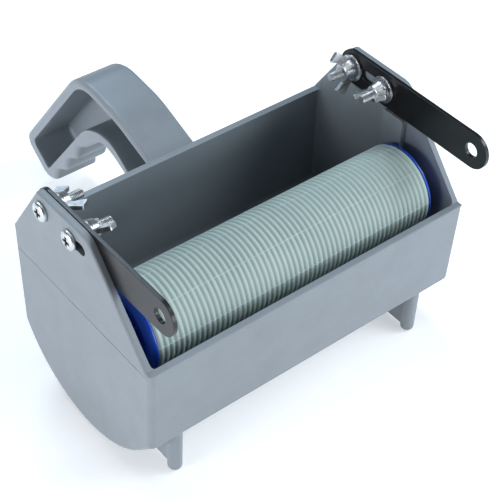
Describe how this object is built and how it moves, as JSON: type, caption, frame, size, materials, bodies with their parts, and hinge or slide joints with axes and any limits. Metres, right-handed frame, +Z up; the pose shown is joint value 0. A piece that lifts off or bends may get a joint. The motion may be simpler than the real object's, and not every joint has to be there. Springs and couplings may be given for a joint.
{
  "type": "roller applicator tray",
  "caption": "Hand-held paint tray on a pistol handle, with a ribbed feeder roller inside and two slotted steel arms for a pattern roller.",
  "frame": {"origin": "on the surface the feet stand on, under the middle of the object's bounding box", "axes": "+X along the feeder roller towards the tray's right end seen from the front wall, +Y from the arms' tips to the handle, +Z up"},
  "size_m": [0.2056, 0.2644, 0.1404],
  "materials": {
    "tray_plastic": "moulded plastic, semi-matte blue-grey",
    "handle_plastic": "moulded plastic, semi-matte blue-grey",
    "sleeve_rubber": "ribbed pale grey-green rubber, matte",
    "core_plastic": "plain extruded tube",
    "cap_plastic": "moulded royal-blue plastic, glossy",
    "axle_steel": "drawn steel rod",
    "arm_steel": "black paint, semi-gloss",
    "screw_steel": "bright zinc plate",
    "washer_steel": "bright zinc plate",
    "wingnut_steel": "bright zinc plate"
  },
  "bodies": {
    "tray_body": {"tray": "tray_plastic", "handle": "handle_plastic", "roller_axle": "axle_steel", "screw_rear_left": "screw_steel", "washer_rear_left": "washer_steel", "screw_front_left": "screw_steel", "washer_front_left": "washer_steel", "screw_rear_right": "screw_steel", "washer_rear_right": "washer_steel", "screw_front_right": "screw_steel", "washer_front_right": "washer_steel"},
    "roller": {"roller_sleeve": "sleeve_rubber", "roller_core": "core_plastic", "roller_cap_left": "cap_plastic", "roller_cap_right": "cap_plastic"},
    "arm_left": {"arm_left": "arm_steel"},
    "arm_right": {"arm_right": "arm_steel"},
    "wingnut_rear_left": {"wingnut_rear_left": "wingnut_steel"},
    "wingnut_front_left": {"wingnut_front_left": "wingnut_steel"},
    "wingnut_rear_right": {"wingnut_rear_right": "wingnut_steel"},
    "wingnut_front_right": {"wingnut_front_right": "wingnut_steel"}
  },
  "joints": [
    {"name": "roller_spin", "type": "hinge", "parent": "tray_body", "child": "roller", "pos_m": [0, -0.08358, 0.0835], "axis": [1, 0, 0], "continuous": true},
    {"name": "arm_left_slide", "type": "slide", "parent": "tray_body", "child": "arm_left", "axis": [0, 1, 0], "range_m": [-0.0025, 0.0025]},
    {"name": "arm_right_slide", "type": "slide", "parent": "tray_body", "child": "arm_right", "axis": [0, 1, 0], "range_m": [-0.0025, 0.0025]},
    {"name": "wingnut_rear_left_turn", "type": "hinge", "parent": "tray_body", "child": "wingnut_rear_left", "pos_m": [-0.0922, -0.03418, 0.1288], "axis": [1, 0, 0], "continuous": true},
    {"name": "wingnut_front_left_turn", "type": "hinge", "parent": "tray_body", "child": "wingnut_front_left", "pos_m": [-0.0922, -0.05848, 0.1288], "axis": [1, 0, 0], "continuous": true},
    {"name": "wingnut_rear_right_turn", "type": "hinge", "parent": "tray_body", "child": "wingnut_rear_right", "pos_m": [0.0922, -0.03418, 0.1288], "axis": [1, 0, 0], "continuous": true},
    {"name": "wingnut_front_right_turn", "type": "hinge", "parent": "tray_body", "child": "wingnut_front_right", "pos_m": [0.0922, -0.05848, 0.1288], "axis": [1, 0, 0], "continuous": true}
  ]
}
